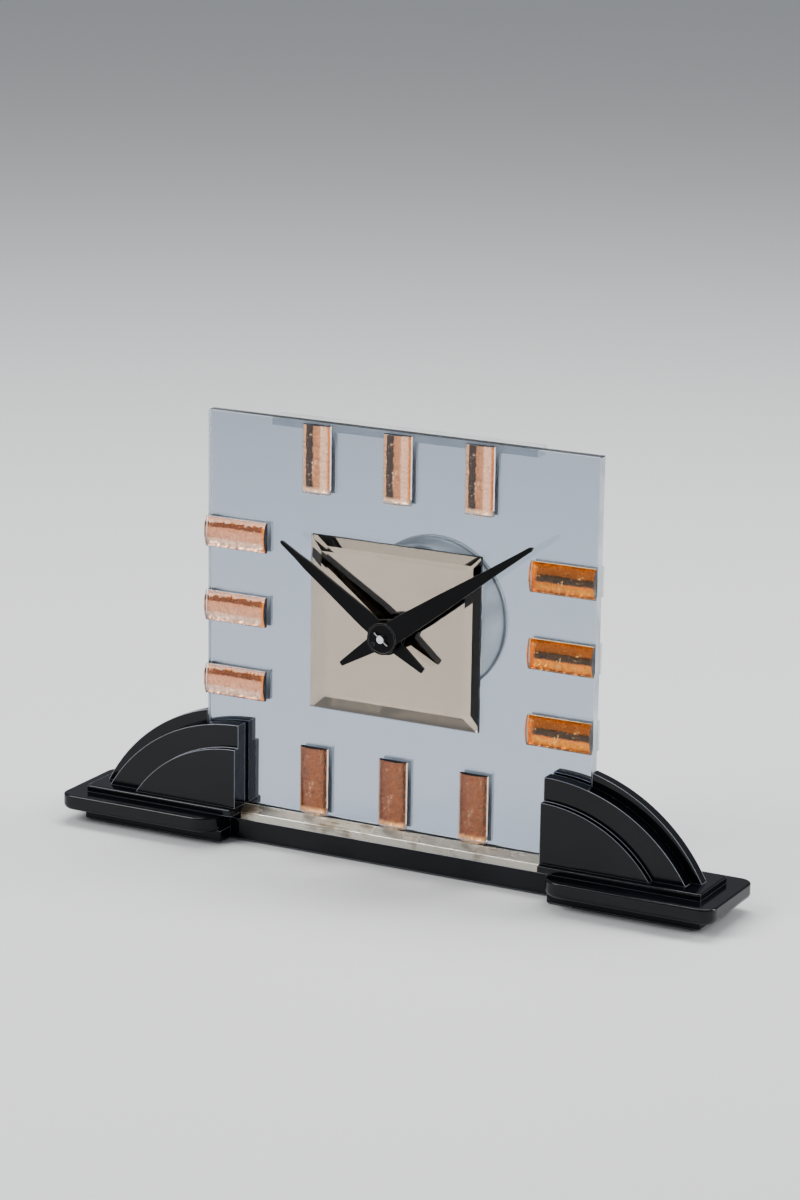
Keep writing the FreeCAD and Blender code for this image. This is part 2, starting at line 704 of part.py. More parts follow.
fourth_phase = meshing_phase(fourth_line, third_wheel_teeth, 0.0, fourth_pinion_teeth)
fourth_pinion = gear(fourth_pinion_teeth, third_module, pinion_addendum, third_wheel_front - 0.6,
                     third_wheel_back + 0.6, fourth_place, fourth_phase)
fourth_front = third_wheel_back + 2.5
fourth = gear(fourth_wheel_teeth, fourth_module, wheel_addendum, fourth_front, fourth_front + 0.7, fourth_place, 0.0)
fourth = lightened(fourth, 5.2, 2.0, 6, fourth_front, fourth_front + 0.7, fourth_place)
save("fourth_wheel", fourth.fuse([fourth_pinion, train_arbor(fourth_place)]))

# winding: arbor, ratchet wheel, click, key

ratchet_front = back_plate_back + end_shake
ratchet_back = ratchet_front + 1.2
ratchet_teeth, ratchet_outer, ratchet_inner = 24, 9.0, 8.0
key_front = cover_back + 1.0
key_back = key_front + 12.0
arbor_front_end = front_plate_front
winding_arbor = rod(winding_radius, arbor_front_end, key_front + 8.0, *barrel_place)
winding_arbor = winding_arbor.fuse(rod(3.6, barrel_front + barrel_wall + 0.1, barrel_back - barrel_wall - 0.1,
                                       *barrel_place))
save("winding_arbor", winding_arbor)


def ratchet():
    points = []
    for tooth in range(ratchet_teeth):
        start = 360.0 * tooth / ratchet_teeth
        points.append(on_circle(barrel_place, ratchet_inner, start))
        points.append(on_circle(barrel_place, ratchet_outer, start + 0.92 * 360.0 / ratchet_teeth))
    wheel_shape = slab_of(points, ratchet_front, ratchet_back)
    return wheel_shape.cut(rod(winding_radius, ratchet_front, ratchet_back, *barrel_place))


save("ratchet_wheel", ratchet())

click_line = 75.0
click_gap = 0.3
click_pivot = on_circle(barrel_place, ratchet_outer + 5.0, click_line)
click_screw_radius = 0.9
tip_far = on_circle(barrel_place, ratchet_outer + click_gap, click_line - 28.0)
tip_near = on_circle(barrel_place, ratchet_outer + click_gap + 1.6, click_line - 30.0)
heel_far = on_circle(barrel_place, ratchet_outer + 3.6, click_line)
heel_near = on_circle(barrel_place, ratchet_outer + 6.4, click_line)
click = slab_of([tip_far, tip_near, heel_near, heel_far], ratchet_front, ratchet_back)
click = click.fuse(rod(2.0, ratchet_front, ratchet_back, *click_pivot))
save("click", click.cut(rod(click_screw_radius + running_clearance, ratchet_front, ratchet_back, *click_pivot)))
click_screw = rod(click_screw_radius, back_plate_back, ratchet_back + 0.1, *click_pivot)
save("click_screw", click_screw.fuse(rod(1.8, ratchet_back + 0.1, ratchet_back + 0.9, *click_pivot)))


def winding_key():
    x, z = barrel_place
    half = key_span / 2
    socket = ring(3.4, winding_radius, key_front, key_back - 4.0, x, z)
    crown = rod(3.4, key_back - 4.0, key_back - 3.0, x, z)
    wing = box(x - half, x + half, key_back - 8.0, key_back, z - 0.8, z + 0.8)
    wing = wing.makeFillet(2.6, [edge for edge in wing.Edges if abs(edge.BoundBox.ZLength - 1.6) < 0.01])
    wing = wing.cut(rod(3.4, key_back - 8.0, key_back - 4.0, x, z))
    return socket.fuse([crown, wing])


save("winding_key", winding_key())

knob = ring(knob_radius, arbor_radius, knob_front, knob_back)
for index in range(24):
    place = polar(knob_radius, 15.0 * index)
    knob = knob.cut(rod(0.45, knob_front, knob_back, *place))
save("setting_knob", knob)

# escapement platform: plate, balance wheel, hairspring, cock, regulator

platform_back = back_plate_back + 2.0
staff_radius, staff_pivot = 0.7, 0.4
save("escapement_platform", rod(11.0, back_plate_back, platform_back, *balance_place)
     .cut(rod(staff_pivot + running_clearance, back_plate_back, platform_back, *balance_place)))
balance_front = platform_back + 0.8
balance_back = balance_front + 1.0
cock_front = balance_back + 1.9
cock_back = cock_front + 1.0
rim = ring(balance_radius, balance_radius - 1.1, balance_front, balance_back, *balance_place)
arm = box(balance_place[0] - balance_radius + 0.8, balance_place[0] + balance_radius - 0.8, balance_front, balance_back,
          balance_place[1] - 0.7, balance_place[1] + 0.7)
staff = rod(staff_radius, platform_back + end_shake, cock_front - end_shake, *balance_place)
staff = staff.fuse(rod(staff_pivot, back_plate_back + end_shake, cock_back, *balance_place))
save("balance_wheel", rim.fuse([arm, staff]))
save("hairspring", spiral(1.2, 4.6, 6, 0.16, balance_back + 0.4, balance_back + 1.0, balance_place))

cock_line = 200.0
foot_place = on_circle(balance_place, balance_radius + 2.4, cock_line)
bridge = slab_of([on_circle(balance_place, 2.6, cock_line - 90), on_circle(balance_place, 2.6, cock_line - 180),
                  on_circle(balance_place, 2.6, cock_line + 90), on_circle(foot_place, 1.7, cock_line + 90),
                  on_circle(foot_place, 1.7, cock_line - 90)], cock_front, cock_back)
cock = bridge.fuse([rod(1.7, platform_back, cock_back, *foot_place), rod(2.6, cock_front, cock_back, *balance_place)])
boss_radius = 1.6
cock = cock.fuse(rod(boss_radius, cock_back, cock_back + 1.1, *balance_place))
cock = cock.cut(rod(staff_pivot + running_clearance, cock_front, cock_back + 1.1, *balance_place))
save("balance_cock", cock)

lever_front = cock_back + 0.1
lever_back = lever_front + 0.8
lever_tip = on_circle(balance_place, regulator_reach, regulator_rest)
lever = slab_of([on_circle(balance_place, 2.2, regulator_rest + 90), on_circle(lever_tip, 0.9, regulator_rest + 90),
                 on_circle(lever_tip, 0.9, regulator_rest - 90), on_circle(balance_place, 2.2, regulator_rest - 90)],
                lever_front, lever_back)
lever = lever.fuse([rod(2.8, lever_front, lever_back, *balance_place), rod(0.9, lever_front, lever_back, *lever_tip)])
lever = lever.cut(rod(boss_radius + running_clearance, lever_front, lever_back, *balance_place))
save("regulator_lever", lever.fuse(rod(0.6, lever_back, cover_back + 1.5, *lever_tip)))

# hands and taper pin


def hand(outline, hub_radius, back, bore):
    # outline: half widths at distances from the centre, from the tail's end to the tip, pointing to twelve
    front = back - hand_sheet
    right = [(width, dial_z + distance) for distance, width in outline]
    left = [(-width, z) for width, z in right[::-1]]
    blade = slab_of(right + left, front, back)
    blank = blade.fuse(rod(hub_radius, front, back)).removeSplitter()
    return blank.cut(rod(bore, front, back))


hour_outline = ((-hour_tail_length, 1.5), (0.0, 4.9), (15.0, 5.0), (45.0, 3.25), (57.0, 2.7),
                (65.0, 1.75), (hour_hand_length - 1.2, 1.0), (hour_hand_length, 0.4))
minute_outline = ((-minute_tail_length, 1.3), (-6.0, 4.25), (0.0, 6.0), (15.0, 6.0), (40.0, 4.75),
                  (75.0, 2.5), (minute_hand_length - 1.5, 1.2), (minute_hand_length, 0.4))
hour_hand = hand(hour_outline, hour_hub_radius, hour_hand_back, hour_pipe_radius)
collet = ring(hour_pipe_radius + 1.4, hour_pipe_radius, hour_hand_back, hour_hand_back + 2.0)
save("hour_hand", turned(hour_hand.fuse(collet), hour_angle))

minute_hand = hand(minute_outline, minute_hub_radius, minute_hand_back, arbor_radius)
hub_rim = ring(minute_hub_radius, minute_hub_radius - hub_rim_width, minute_hand_front - hub_rim_height,
               minute_hand_front)
rivet = rod(0.9, minute_hand_front - 0.35, minute_hand_front, 0.0, dial_z - minute_hub_radius + 2.4)
save("minute_hand", turned(minute_hand.fuse([hub_rim, rivet]), minute_angle))
save("taper_pin", crossing_rod(pin_radius, pin_length, pin_tilt, pin_y))
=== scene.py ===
import json
import math

import bmesh
import bpy
from mathutils import Matrix, Vector, noise


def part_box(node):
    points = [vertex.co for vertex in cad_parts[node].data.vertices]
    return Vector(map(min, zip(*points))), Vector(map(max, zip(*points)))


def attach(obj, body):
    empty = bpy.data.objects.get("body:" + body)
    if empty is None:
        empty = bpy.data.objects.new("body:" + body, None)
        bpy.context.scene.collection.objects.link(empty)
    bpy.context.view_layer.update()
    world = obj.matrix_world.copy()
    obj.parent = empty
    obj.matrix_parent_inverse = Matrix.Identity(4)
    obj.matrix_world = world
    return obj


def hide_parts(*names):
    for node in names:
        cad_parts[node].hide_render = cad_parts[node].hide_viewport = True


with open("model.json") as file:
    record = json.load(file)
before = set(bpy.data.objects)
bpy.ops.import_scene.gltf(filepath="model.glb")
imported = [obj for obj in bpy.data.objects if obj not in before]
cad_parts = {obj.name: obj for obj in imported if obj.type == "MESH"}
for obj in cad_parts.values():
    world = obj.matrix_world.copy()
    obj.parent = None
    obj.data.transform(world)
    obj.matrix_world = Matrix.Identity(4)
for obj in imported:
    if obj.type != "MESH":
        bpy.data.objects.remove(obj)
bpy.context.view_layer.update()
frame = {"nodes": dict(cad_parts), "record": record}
nodes = frame["nodes"]

plateLow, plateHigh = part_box("dial_plate")
mirrorLow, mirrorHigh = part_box("mirror_plate")
dialZ = (mirrorLow.z + mirrorHigh.z) / 2


# small helpers for node trees

def newMaterial(name):
    material = bpy.data.materials.new(name)
    material.use_nodes = True
    tree = material.node_tree
    return material, tree, tree.nodes["Principled BSDF"]


def feed(tree, plug, value):
    # link a socket, or set a plain value
    if isinstance(value, bpy.types.NodeSocket):
        tree.links.new(value, plug)
    else:
        plug.default_value = value


def feedNamed(tree, node, inputs):
    for key, value in inputs.items():
        feed(tree, node.inputs[key.replace("_", " ")], value)


def addNode(tree, kind, settings=None, **inputs):
    node = tree.nodes.new(kind)
    for key, value in (settings or {}).items():
        setattr(node, key, value)
    feedNamed(tree, node, inputs)
    return node


def maths(tree, operation, first, second=0.5, third=None):
    node = tree.nodes.new("ShaderNodeMath")
    node.operation = operation
    for plug, value in zip(node.inputs, (first, second, third)):
        if value is not None:
            feed(tree, plug, value)
    return node.outputs[0]


def mixColours(tree, share, first, second):
    node = tree.nodes.new("ShaderNodeMix")
    node.data_type = "RGBA"
    for place, value in ((0, share), (6, first), (7, second)):  # factor, colour A, colour B
        feed(tree, node.inputs[place], value)
    return node.outputs[2]


def mixValues(tree, share, first, second):
    node = tree.nodes.new("ShaderNodeMix")
    for place, value in ((0, share), (2, first), (3, second)):  # factor, value A, value B
        feed(tree, node.inputs[place], value)
    return node.outputs[0]


def spread(tree, value, low, high):
    node = addNode(tree, "ShaderNodeMapRange", {"clamp": True}, Value=value)
    node.inputs["From Min"].default_value = low
    node.inputs["From Max"].default_value = high
    return node.outputs[0]


def rgba(colour):
    return (colour[0], colour[1], colour[2], 1.0)


def newGroup(name, inputs, outputs):
    group = bpy.data.node_groups.new(name, "ShaderNodeTree")
    for label, kind, value in inputs:
        socket = group.interface.new_socket(label, in_out="INPUT", socket_type=kind)
        socket.default_value = value
    for label, kind in outputs:
        group.interface.new_socket(label, in_out="OUTPUT", socket_type=kind)
    return group, group.nodes.new("NodeGroupInput"), group.nodes.new("NodeGroupOutput")


def placeGroup(tree, group, **inputs):
    node = tree.nodes.new("ShaderNodeGroup")
    node.node_tree = group
    feedNamed(tree, node, inputs)
    return node


# shared effects

edgeRule = {"samples": 8, "lean": (0.02, 0.2), "chipDetail": 6.0, "chipRoughness": 0.7, "patchScale": 28.0,
            "patchLift": 0.5, "unworn": 0.9, "reach": 0.6, "softness": 0.05}
grainRule = {"thin": (0.985, 1.0), "broken": (0.5, 0.65), "blotches": (0.32, 0.68), "speckles": (0.35, 0.7),
             "bend": 9.0, "bendScale": 1.4, "speckleHeight": 0.25}


def makeEdgeWear():
    # where a rounded edge's normal leaves the face's own, broken up by noise
    group, given, made = newGroup(
        "edgeWear",
        [("Radius", "NodeSocketFloat", 0.0006), ("Chips", "NodeSocketFloat", 300.0),
         ("Amount", "NodeSocketFloat", 0.5)],
        [("Mask", "NodeSocketFloat"), ("Edge", "NodeSocketFloat"), ("Normal", "NodeSocketVector")])
    rounded = addNode(group, "ShaderNodeBevel", {"samples": edgeRule["samples"]},
                      Radius=given.outputs["Radius"])
    geometry = group.nodes.new("ShaderNodeNewGeometry")
    lean = addNode(group, "ShaderNodeVectorMath", {"operation": "DOT_PRODUCT"})
    group.links.new(rounded.outputs[0], lean.inputs[0])
    group.links.new(geometry.outputs["True Normal"], lean.inputs[1])
    edge = spread(group, maths(group, "SUBTRACT", 1.0, lean.outputs["Value"]), *edgeRule["lean"])
    places = group.nodes.new("ShaderNodeTexCoord").outputs["Object"]
    chips = addNode(group, "ShaderNodeTexNoise", Vector=places, Scale=given.outputs["Chips"],
                    Detail=edgeRule["chipDetail"], Roughness=edgeRule["chipRoughness"])
    patches = addNode(group, "ShaderNodeTexNoise", Vector=places, Scale=edgeRule["patchScale"], Detail=2.0)
    lifted = maths(group, "ADD", patches.outputs[0], edgeRule["patchLift"])
    worn = maths(group, "MULTIPLY", chips.outputs[0], lifted)
    reach = maths(group, "MULTIPLY", given.outputs["Amount"], edgeRule["reach"])
    level = maths(group, "SUBTRACT", edgeRule["unworn"], reach)
    worn = addNode(group, "ShaderNodeMapRange", {"clamp": True}, Value=worn)
    group.links.new(level, worn.inputs["From Min"])
    group.links.new(maths(group, "ADD", level, edgeRule["softness"]), worn.inputs["From Max"])
    group.links.new(maths(group, "MULTIPLY", worn.outputs[0], edge), made.inputs["Mask"])
    group.links.new(edge, made.inputs["Edge"])
    group.links.new(rounded.outputs[0], made.inputs["Normal"])
    return group


def makeSurfaceGrain():
    # soft blotches, fine speckle and long light scratches, for roughness, dust and bump
    group, given, made = newGroup(
        "surfaceGrain",
        [("Blotch", "NodeSocketFloat", 30.0), ("Speckle", "NodeSocketFloat", 1200.0),
         ("Scratch", "NodeSocketFloat", 90.0)],
        [("Blotches", "NodeSocketFloat"), ("Speckles", "NodeSocketFloat"), ("Scratches", "NodeSocketFloat"),
         ("Height", "NodeSocketFloat")])
    places = group.nodes.new("ShaderNodeTexCoord").outputs["Object"]
    blotch = addNode(group, "ShaderNodeTexNoise", Vector=places, Scale=given.outputs["Blotch"], Detail=4.0)
    speckle = addNode(group, "ShaderNodeTexNoise", Vector=places, Scale=given.outputs["Speckle"], Detail=2.0)
    bent = addNode(group, "ShaderNodeTexWave", {"wave_type": "BANDS", "bands_direction": "DIAGONAL"},
                   Vector=places, Scale=given.outputs["Scratch"], Distortion=grainRule["bend"], Detail=3.0,
                   Detail_Scale=grainRule["bendScale"])
    thin = spread(group, bent.outputs["Fac"], *grainRule["thin"])
    broken = maths(group, "MULTIPLY", thin, spread(group, blotch.outputs[0], *grainRule["broken"]))
    group.links.new(spread(group, blotch.outputs[0], *grainRule["blotches"]), made.inputs["Blotches"])
    group.links.new(spread(group, speckle.outputs[0], *grainRule["speckles"]), made.inputs["Speckles"])
    group.links.new(broken, made.inputs["Scratches"])
    fine = maths(group, "MULTIPLY", speckle.outputs[0], grainRule["speckleHeight"])
    group.links.new(maths(group, "ADD", blotch.outputs[0], fine), made.inputs["Height"])
    return group


def makeTurnedLines():
    # fine rings and rays about the dial's centre, as a lathe and a sunray brush leave them
    group, given, made = newGroup(
        "turnedLines",
        [("Rings", "NodeSocketFloat", 9000.0), ("Rays", "NodeSocketFloat", 60.0),
         ("Ray Share", "NodeSocketFloat", 0.5)],
        [("Lines", "NodeSocketFloat")])
    places = group.nodes.new("ShaderNodeTexCoord").outputs["Object"]
    split = addNode(group, "ShaderNodeSeparateXYZ", Vector=places)
    across = split.outputs["X"]
    upward = maths(group, "SUBTRACT", split.outputs["Z"], dialZ)
    squares = [maths(group, "POWER", length, 2.0) for length in (across, upward)]
    radius = maths(group, "SQRT", maths(group, "ADD", *squares))
    turn = maths(group, "ARCTAN2", upward, across)
    outward = maths(group, "MULTIPLY", radius, given.outputs["Rings"])
    ringPlace = addNode(group, "ShaderNodeCombineXYZ", X=outward, Y=split.outputs["Y"])
    rings = addNode(group, "ShaderNodeTexNoise", {"noise_dimensions": "2D"}, Vector=ringPlace.outputs[0],
                    Scale=1.0, Detail=3.0)
    sides = [maths(group, "MULTIPLY", maths(group, wave, turn), given.outputs["Rays"])
             for wave in ("COSINE", "SINE")]
    rayPlace = addNode(group, "ShaderNodeCombineXYZ", X=sides[0], Y=sides[1])
    rays = addNode(group, "ShaderNodeTexNoise", Vector=rayPlace.outputs[0], Scale=1.0, Detail=4.0)
    lines = mixValues(group, given.outputs["Ray Share"], rings.outputs[0], rays.outputs[0])
    group.links.new(lines, made.inputs["Lines"])
    return group


edgeWear = makeEdgeWear()
surfaceGrain = makeSurfaceGrain()
turnedLines = makeTurnedLines()
print("shared effects ready")


def addBump(tree, shader, height, bump, normal=None):
    # bump is its strength and its depth in metres
    node = addNode(tree, "ShaderNodeBump", Height=height, Strength=bump[0], Distance=bump[1])
    if normal is not None:
        tree.links.new(normal, node.inputs["Normal"])
    tree.links.new(node.outputs[0], shader.inputs["Normal"])


def startMaterial(name, look):
    # a material with its grain, and with its edge wear where its look has any
    material, tree, shader = newMaterial(name)
    grain = placeGroup(tree, surfaceGrain, **look["grain"])
    wear = placeGroup(tree, edgeWear, **look["wear"]) if "wear" in look else None
    return material, tree, shader, grain, wear


# base: black lacquer; sill: drawn nickel; drum: turned aluminium; works: steel and brass

# the pale blue-grey edge colour and its share are a painted highlight on the rounded edges
lacquer = {"black": (0.0028, 0.003, 0.0042), "blueGrey": (0.006, 0.007, 0.0105),
           "dust": (0.06, 0.065, 0.075), "paintedHighlight": (0.6, 0.63, 0.7), "chip": (0.7, 0.66, 0.6),
           "roughness": 0.07, "blotchRise": 0.08, "chipRoughness": 0.75, "specular": 0.4,
           "edgeHighlightShare": 0.75, "dustShare": 0.02, "bump": (0.4, 0.00001),
           "wear": {"Radius": 0.0009, "Chips": 240.0, "Amount": 0.36},
           "grain": {"Blotch": 22.0, "Speckle": 900.0, "Scratch": 6.0}}


def makeLacquer():
    # deep black gloss, the rounded edges lightened by a painted highlight, chipped here and there
    material, tree, shader, grain, wear = startMaterial("blackLacquer", lacquer)
    body = mixColours(tree, grain.outputs["Blotches"], rgba(lacquer["black"]), rgba(lacquer["blueGrey"]))
    dusty = maths(tree, "MULTIPLY", grain.outputs["Speckles"], lacquer["dustShare"])
    body = mixColours(tree, dusty, body, rgba(lacquer["dust"]))
    # painted highlight: the rounded edges are lightened toward pale blue-grey
    edgeHighlight = maths(tree, "MULTIPLY", wear.outputs["Edge"], lacquer["edgeHighlightShare"])
    body = mixColours(tree, edgeHighlight, body, rgba(lacquer["paintedHighlight"]))
    body = mixColours(tree, wear.outputs["Mask"], body, rgba(lacquer["chip"]))
    feed(tree, shader.inputs["Base Color"], body)
    rough = maths(tree, "MULTIPLY_ADD", grain.outputs["Blotches"], lacquer["blotchRise"],
                  lacquer["roughness"])
    rough = mixValues(tree, wear.outputs["Mask"], rough, lacquer["chipRoughness"])
    feed(tree, shader.inputs["Roughness"], rough)
    shader.inputs["Specular IOR Level"].default_value = lacquer["specular"]
    height = maths(tree, "SUBTRACT", grain.outputs["Height"], wear.outputs["Mask"])
    addBump(tree, shader, height, lacquer["bump"], wear.outputs["Normal"])
    return material


sillMetal = {"clean": (0.56, 0.53, 0.47), "stain": (0.2, 0.16, 0.11), "bright": (0.86, 0.83, 0.76),
             "roughness": 0.26, "stainRise": 0.3, "stainSpan": (0.24, 0.5), "stretch": (8.0, 260.0, 260.0),
             "drawnScale": 3.0, "drawnDetail": 5.0, "drawnRoughness": 0.6, "bump": (0.35, 0.00012),
             "wear": {"Radius": 0.0005, "Chips": 500.0, "Amount": 0.7},
             "grain": {"Blotch": 60.0, "Speckle": 700.0, "Scratch": 40.0}}


def makeSillMetal():
    # lines drawn along the sill, with stains that follow them, and a painted highlight along its edges
    material, tree, shader, grain, wear = startMaterial("sillNickel", sillMetal)
    places = tree.nodes.new("ShaderNodeTexCoord").outputs["Object"]
    long = addNode(tree, "ShaderNodeMapping", Vector=places, Scale=sillMetal["stretch"])
    drawn = addNode(tree, "ShaderNodeTexNoise", Vector=long.outputs[0], Scale=sillMetal["drawnScale"],
                    Detail=sillMetal["drawnDetail"], Roughness=sillMetal["drawnRoughness"])
    stained = maths(tree, "MULTIPLY", drawn.outputs[0], grain.outputs["Blotches"])
    stained = spread(tree, stained, *sillMetal["stainSpan"])
    body = mixColours(tree, stained, rgba(sillMetal["clean"]), rgba(sillMetal["stain"]))
    # painted highlight: the sill's rounded edges are lightened
    body = mixColours(tree, wear.outputs["Edge"], body, rgba(sillMetal["bright"]))
    feed(tree, shader.inputs["Base Color"], body)
    shader.inputs["Metallic"].default_value = 1.0
    rough = maths(tree, "MULTIPLY_ADD", stained, sillMetal["stainRise"], sillMetal["roughness"])
    feed(tree, shader.inputs["Roughness"], rough)
    addBump(tree, shader, drawn.outputs[0], sillMetal["bump"], wear.outputs["Normal"])
    return material


caseMetal = {"bright": (0.83, 0.84, 0.83), "dull": (0.6, 0.62, 0.6), "roughness": 0.24, "lineRise": 0.22,
             "blotchRise": 0.3, "leastTone": 0.7, "toneSpan": (0.25, 0.65), "anisotropic": 0.5,
             "bump": (0.25, 0.00005), "lines": {"Rings": 7000.0, "Rays": 70.0, "Ray_Share": 0.4},
             "wear": {"Radius": 0.0004, "Chips": 400.0, "Amount": 0.6},
             "grain": {"Blotch": 45.0, "Speckle": 1500.0, "Scratch": 60.0}}


def makeCaseMetal():
    material, tree, shader, grain, wear = startMaterial("caseAluminium", caseMetal)
    lines = placeGroup(tree, turnedLines, **caseMetal["lines"]).outputs["Lines"]
    blotches = maths(tree, "MULTIPLY_ADD", grain.outputs["Blotches"], caseMetal["blotchRise"],
                     caseMetal["leastTone"])
    tone = spread(tree, maths(tree, "MULTIPLY", lines, blotches), *caseMetal["toneSpan"])
    body = mixColours(tree, tone, rgba(caseMetal["dull"]), rgba(caseMetal["bright"]))
    feed(tree, shader.inputs["Base Color"], body)
    shader.inputs["Metallic"].default_value = 1.0
    rough = maths(tree, "MULTIPLY_ADD", lines, caseMetal["lineRise"], caseMetal["roughness"])
    feed(tree, shader.inputs["Roughness"], rough)
    shader.inputs["Anisotropic"].default_value = caseMetal["anisotropic"]
    addBump(tree, shader, lines, caseMetal["bump"], wear.outputs["Normal"])
    return material


steel = {"bright": (0.75, 0.75, 0.76), "dull": (0.55, 0.55, 0.57), "roughness": 0.2}
brass = {"bright": (0.83, 0.62, 0.28), "dull": (0.6, 0.42, 0.18), "roughness": 0.26}
# the edge colour is a painted highlight, near white, on the rounded edges of steel and brass
workedMetal = {"edge": (0.95, 0.93, 0.9), "edgeHighlightShare": 0.5, "speckleRise": 0.15, "bump": (0.3, 0.00003),
               "wear": {"Radius": 0.00025, "Chips": 700.0, "Amount": 0.8},
               "grain": {"Blotch": 80.0, "Speckle": 1800.0, "Scratch": 120.0}}


def makeMetal(name, look):
    material, tree, shader, grain, wear = startMaterial(name, workedMetal)
    body = mixColours(tree, grain.outputs["Blotches"], rgba(look["bright"]), rgba(look["dull"]))
    # painted highlight: rounded edges lightened toward near white
    edgeHighlight = maths(tree, "MULTIPLY", wear.outputs["Edge"], workedMetal["edgeHighlightShare"])
    feed(tree, shader.inputs["Base Color"], mixColours(tree, edgeHighlight, body, rgba(workedMetal["edge"])))
    shader.inputs["Metallic"].default_value = 1.0
    rough = maths(tree, "MULTIPLY_ADD", grain.outputs["Speckles"], workedMetal["speckleRise"],
                  look["roughness"])
    feed(tree, shader.inputs["Roughness"], rough)
    addBump(tree, shader, grain.outputs["Height"], workedMetal["bump"], wear.outputs["Normal"])
    return material


# hands: black enamel

# the bright colour is a painted highlight on the hands' rounded edges
enamel = {"black": (0.004, 0.004, 0.005), "bright": (0.55, 0.53, 0.5), "roughness": 0.26, "blotchRise": 0.14,
          "edgeHighlightShare": 0.6, "specular": 0.2, "bump": (0.25, 0.00003),
          "wear": {"Radius": 0.00028, "Chips": 420.0, "Amount": 0.75},
          "grain": {"Blotch": 90.0, "Speckle": 2200.0, "Scratch": 160.0}}


def makeEnamel():
    material, tree, shader, grain, wear = startMaterial("handEnamel", enamel)
    # painted highlight: the rounded edges of the hands are lightened to pale grey
    paintedHighlight = maths(tree, "MULTIPLY", wear.outputs["Edge"], enamel["edgeHighlightShare"])
    body = mixColours(tree, paintedHighlight, rgba(enamel["black"]), rgba(enamel["bright"]))
    feed(tree, shader.inputs["Base Color"], body)
    rough = maths(tree, "MULTIPLY_ADD", grain.outputs["Blotches"], enamel["blotchRise"], enamel["roughness"])
    feed(tree, shader.inputs["Roughness"], rough)
    shader.inputs["Specular IOR Level"].default_value = enamel["specular"]
    addBump(tree, shader, grain.outputs["Height"], enamel["bump"], wear.outputs["Normal"])
    return material


# glass

plateGlass = {"tint": (0.46, 0.515, 0.6), "ground": (0.78, 0.81, 0.83), "ior": 1.5, "groundRoughness": 0.38,
              "haze": 0.015, "groundSpan": (0.9, 0.6),
              "grain": {"Blotch": 14.0, "Speckle": 800.0, "Scratch": 25.0}}


def makePlateGlass():
    # clear faces; the ground edges are found by where the surface turns away from front and back
    material, tree, shader = newMaterial("plateGlass")
    geometry = tree.nodes.new("ShaderNodeNewGeometry")
    split = addNode(tree, "ShaderNodeSeparateXYZ", Vector=geometry.outputs["True Normal"])
    ground = spread(tree, maths(tree, "ABSOLUTE", split.outputs["Y"]), *plateGlass["groundSpan"])
    grain = placeGroup(tree, surfaceGrain, **plateGlass["grain"])
    haze = maths(tree, "MULTIPLY", grain.outputs["Blotches"], plateGlass["haze"])
    body = mixColours(tree, ground, rgba(plateGlass["tint"]), rgba(plateGlass["ground"]))
    feed(tree, shader.inputs["Base Color"], body)
    feed(tree, shader.inputs["Roughness"], mixValues(tree, ground, haze, plateGlass["groundRoughness"]))
    shader.inputs["Transmission Weight"].default_value = 1.0
    shader.inputs["IOR"].default_value = plateGlass["ior"]
    return material


clearGlass = {"ior": 1.5, "scratchRise": 0.2, "shadeShare": 0.25, "shade": 0.9,
              "grain": {"Blotch": 120.0, "Speckle": 900.0, "Scratch": 60.0}}
mirrorGlass = {"tint": (0.95, 0.97, 0.96), "roughness": 0.005}
# painted light: the tints differ by side as the light falls differently on each side of the dial, lit and
# shaded copies of one glass
barGlass = {"roughness": 0.02, "waveScale": 140.0, "bump": (0.5, 0.0004),
            "sideLightTints": {"left_hour_bars": (1.0, 0.86, 0.78), "top_hour_bars": (1.0, 0.88, 0.8),
                      "right_hour_bars": (1.0, 0.8, 0.52), "bottom_hour_bars": (0.95, 0.8, 0.68)}}


def makeClearGlass(name, tint, roughness):
    material, tree, shader = newMaterial(name)
    grain = placeGroup(tree, surfaceGrain, **clearGlass["grain"])
    marked = maths(tree, "MULTIPLY", grain.outputs["Scratches"], clearGlass["scratchRise"])
    feed(tree, shader.inputs["Roughness"], maths(tree, "ADD", marked, roughness))
    shaded = maths(tree, "MULTIPLY", grain.outputs["Blotches"], clearGlass["shadeShare"])
    body = mixColours(tree, shaded, rgba(tint), rgba([clearGlass["shade"] * part for part in tint]))
    feed(tree, shader.inputs["Base Color"], body)
    shader.inputs["Transmission Weight"].default_value = 1.0
    shader.inputs["IOR"].default_value = clearGlass["ior"]
    return material


def makeBarGlass(node):
    # moulded glass: slow waves along the rounded front
    material = makeClearGlass(node + "Glass", barGlass["sideLightTints"][node], barGlass["roughness"])
    tree = material.node_tree
    places = tree.nodes.new("ShaderNodeTexCoord").outputs["Object"]
    waves = addNode(tree, "ShaderNodeTexNoise", Vector=places, Scale=barGlass["waveScale"], Detail=2.0)
    addBump(tree, tree.nodes["Principled BSDF"], waves.outputs[0], barGlass["bump"])
    return material


paleGlass = {"pale": (0.66, 0.67, 0.66), "shade": (0.54, 0.56, 0.56), "chip": (0.85, 0.83, 0.78),
             "roughness": 0.28, "speckleRise": 0.2, "coat": 0.6, "bump": (0.3, 0.00005),
             "wear": {"Radius": 0.0004, "Chips": 300.0, "Amount": 0.8},
             "grain": {"Blotch": 70.0, "Speckle": 900.0, "Scratch": 40.0}}


